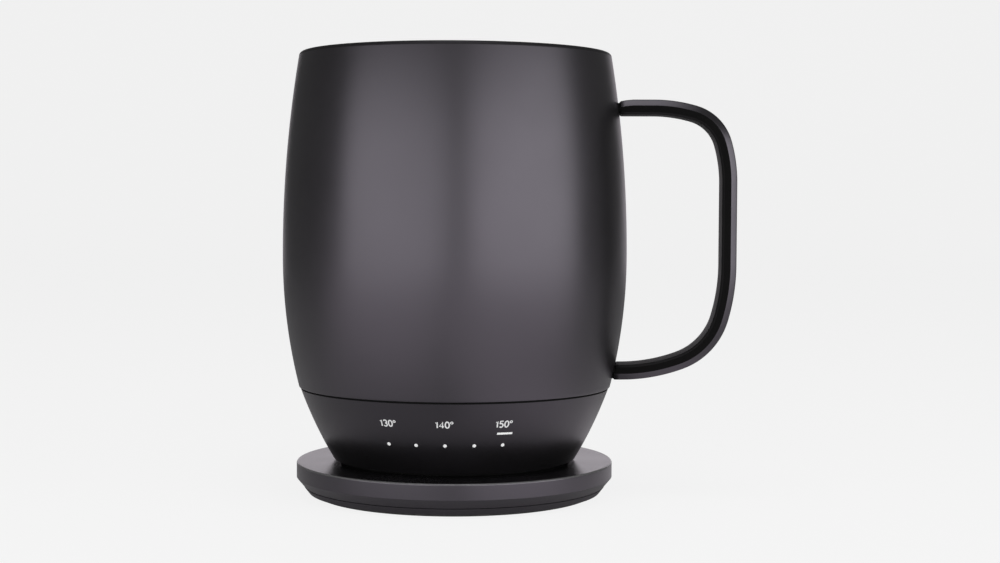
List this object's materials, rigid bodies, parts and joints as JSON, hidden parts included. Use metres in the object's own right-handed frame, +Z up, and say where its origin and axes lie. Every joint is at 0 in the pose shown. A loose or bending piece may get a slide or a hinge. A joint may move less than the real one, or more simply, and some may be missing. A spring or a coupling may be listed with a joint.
{
  "type": "self-heating mug",
  "caption": "Barrel-shaped black mug with a strap handle and a heated base, standing on a round charging coaster; it lifts off, and it has a button underneath and sprung contacts.",
  "frame": {"origin": "centre of the coaster's underside, where it stands on the table", "axes": "+Z up along the mug's axis, +X towards the handle, -Y towards the indicator dots"},
  "size_m": [0.1235, 0.094, 0.1204],
  "materials": {
    "satin_shell": "satin black coat with a fine grain",
    "cup_coat": "satin black coat inside the cup and over the lip",
    "base_plastic": "fine satin moulding",
    "coaster_plastic": "fine satin moulding",
    "rubber": "matt",
    "inner_plastic": "plain moulding",
    "steel": "bright",
    "contact_gold": "plated, polished",
    "circuit_board": "solder mask",
    "chip_black": "moulded",
    "light_white": "translucent",
    "heater_copper": "film",
    "insulation": "pressed fibre",
    "cell_foil": "foil",
    "lead_cover": "insulation"
  },
  "bodies": {
    "coaster": {"coaster_pad": "rubber", "coaster_base": "coaster_plastic", "coaster_top": "coaster_plastic", "coaster_board": "circuit_board", "coaster_components": "chip_black", "cord_gland": "rubber", "pin_barrels": "steel", "inner_pin_spring": "steel", "outer_pin_spring": "steel", "coaster_screws": "steel"},
    "inner_pin": {"inner_contact_pin": "contact_gold"},
    "outer_pin": {"outer_contact_pin": "contact_gold"},
    "mug": {"outer_shell": "satin_shell", "inner_cup": "cup_coat", "rim_seal": "rubber", "handle": "satin_shell", "handle_screws": "steel", "shell_ring": "inner_plastic", "seam_gasket": "rubber", "base_housing": "base_plastic", "bottom_cover": "base_plastic", "contact_plate": "base_plastic", "foot_ring": "rubber", "bottom_screws": "steel", "heater_film": "heater_copper", "thermistor": "chip_black", "insulation_disc": "insulation", "battery_tray": "inner_plastic", "battery_cells": "cell_foil", "main_board": "circuit_board", "board_components": "chip_black", "tact_switch": "chip_black", "led_board": "circuit_board", "leds": "light_white", "light_pipes": "light_white", "bar_light_pipe": "light_white", "inner_contact_ring": "contact_gold", "outer_contact_ring": "contact_gold", "contact_studs": "contact_gold", "heater_leads": "lead_cover", "sensor_leads": "lead_cover", "button_seal": "rubber"},
    "power_button": {"power_button": "base_plastic", "switch_plunger": "light_white"}
  },
  "joints": [
    {"name": "mug_lift", "type": "slide", "parent": "coaster", "child": "mug", "axis": [0, 0, 1], "range_m": [0, 0.15]},
    {"name": "button_press", "type": "slide", "parent": "mug", "child": "power_button", "axis": [0, 0, 1], "range_m": [0, 0.0005], "stiffness_N_per_m": 1500, "springref_m": -0.0004},
    {"name": "inner_pin_press", "type": "slide", "parent": "coaster", "child": "inner_pin", "axis": [0, 0, -1], "range_m": [0, 0.0009], "stiffness_N_per_m": 300, "springref_m": -0.0015, "deforming": ["inner_pin_spring"]},
    {"name": "outer_pin_press", "type": "slide", "parent": "coaster", "child": "outer_pin", "axis": [0, 0, -1], "range_m": [0, 0.0009], "stiffness_N_per_m": 300, "springref_m": -0.0015, "deforming": ["outer_pin_spring"]}
  ]
}
